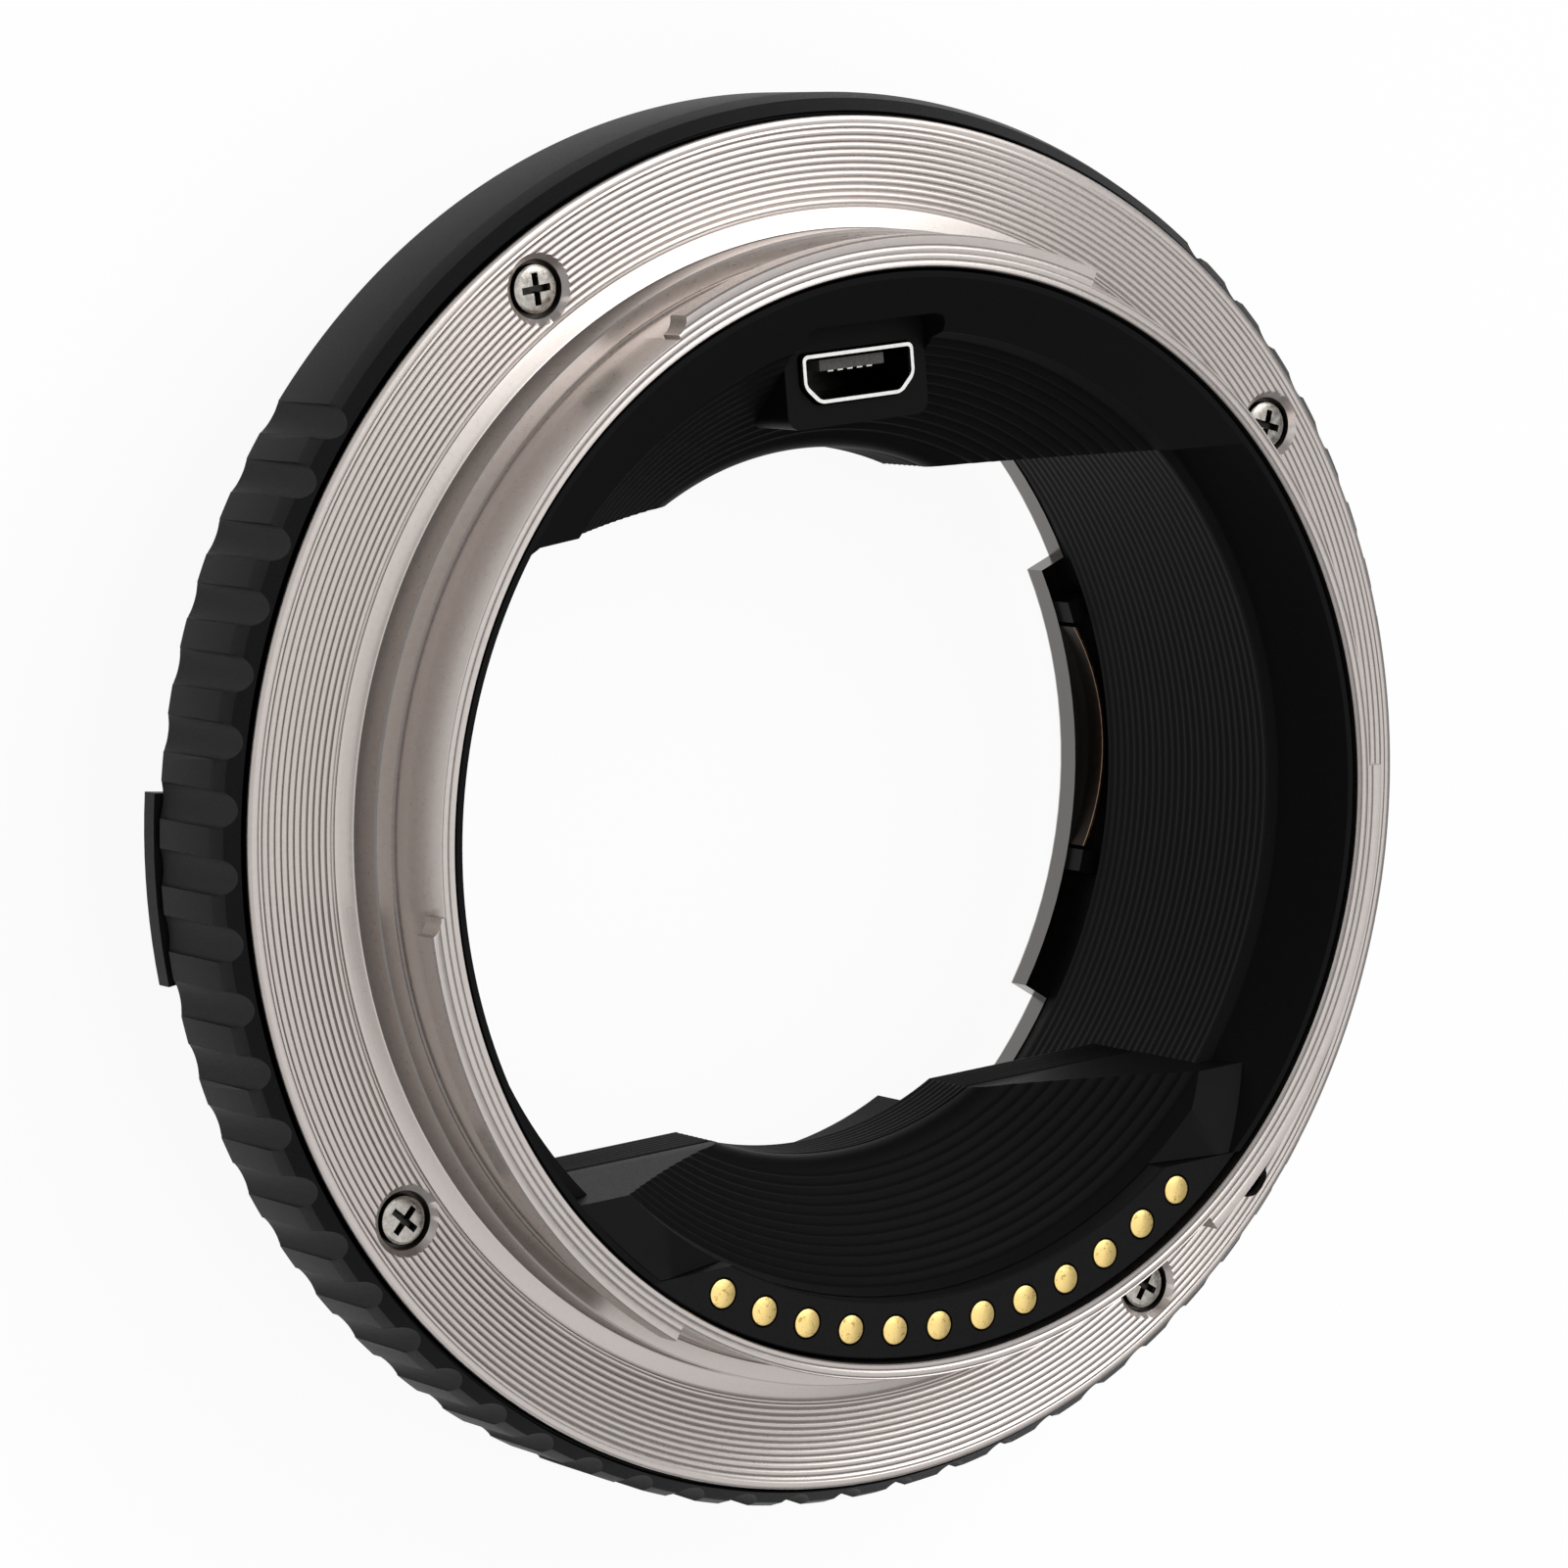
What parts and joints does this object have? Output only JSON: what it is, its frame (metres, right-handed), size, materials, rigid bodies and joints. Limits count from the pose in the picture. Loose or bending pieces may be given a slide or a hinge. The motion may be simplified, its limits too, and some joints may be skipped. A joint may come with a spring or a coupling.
{
  "type": "lens mount adapter",
  "caption": "Flat ring adapter that joins a camera lens to a camera body, with a bayonet on each face, a scalloped control ring, gold contacts and a small port.",
  "frame": {"origin": "centre of the lens mount's throat, in the face that the lens seats on", "axes": "+Z along the optical axis towards the camera, +Y towards the port in the baffle, -Y towards the middle of the row of gold contacts"},
  "size_m": [0.0801, 0.08, 0.0257],
  "materials": {
    "mount_metal": "satin nickel over turned metal, fine concentric ridges",
    "lens_mount_metal": "polished and plated",
    "screw_steel": "bright",
    "black_anodised": "black anodised over a fine blasted grain",
    "black_turned": "black anodised, turned",
    "black_moulding": "matt black moulding",
    "black_gloss": "smooth black moulding",
    "gold_contact": "gold plated",
    "port_steel": "folded bright steel",
    "board_green": "solder mask",
    "chip_black": "moulded package",
    "cable_amber": "polyimide film",
    "spring_bronze": "bare spring bronze",
    "spring_steel": "bare spring steel",
    "mark_red": "enamel dot"
  },
  "bodies": {
    "body": {"camera_mount": "mount_metal", "camera_mount_screws": "screw_steel", "ring_retainer": "black_turned", "ring_stop_pin": "screw_steel", "core_body": "black_turned", "rear_housing": "black_anodised", "lens_index_mark": "mark_red", "body_screws": "screw_steel", "liner": "black_moulding", "camera_contact_block": "black_gloss", "camera_contacts": "gold_contact", "usb_shell": "port_steel", "usb_tongue": "black_gloss", "usb_contacts": "gold_contact", "usb_board": "board_green", "main_board": "board_green", "board_chips": "chip_black", "usb_flex": "cable_amber", "lens_flex": "cable_amber", "camera_flex": "cable_amber", "lens_mount": "lens_mount_metal", "lens_mount_screws": "screw_steel", "bayonet_springs": "spring_bronze", "spring_clips": "black_gloss", "lock_pin_spring": "spring_steel", "lens_contact_block": "black_moulding", "lens_pin_springs": "spring_steel"},
    "control_ring": {"control_ring": "black_anodised"},
    "release_lever": {"release_lever": "black_anodised"},
    "lock_pin": {"lock_pin": "screw_steel"},
    "lens_pins": {"lens_contact_pins": "gold_contact"}
  },
  "joints": [
    {"name": "control_ring_turn", "type": "hinge", "parent": "body", "child": "control_ring", "pos_m": [0, 0, 0.013], "axis": [0, 0, 1], "range_deg": [0, 72]},
    {"name": "release_lever_swing", "type": "hinge", "parent": "body", "child": "release_lever", "pos_m": [0, 0, 0.0085], "axis": [0, 0, 1], "range_deg": [0, 6], "stiffness_Nm_per_rad": 0.05, "springref_deg": -15.47},
    {"name": "lock_pin_slide", "type": "slide", "parent": "body", "child": "lock_pin", "axis": [0, 0, 1], "range_m": [0, 0.0014], "deforming": ["lock_pin_spring"]},
    {"name": "lens_pins_slide", "type": "slide", "parent": "body", "child": "lens_pins", "axis": [0, 0, 1], "range_m": [0, 0.0012], "stiffness_N_per_m": 300, "springref_m": -0.0005, "deforming": ["lens_pin_springs"]}
  ],
  "couplings": [
    {"joint": "lock_pin_slide", "follows": "release_lever_swing", "m_per_rad": 0.01336}
  ]
}
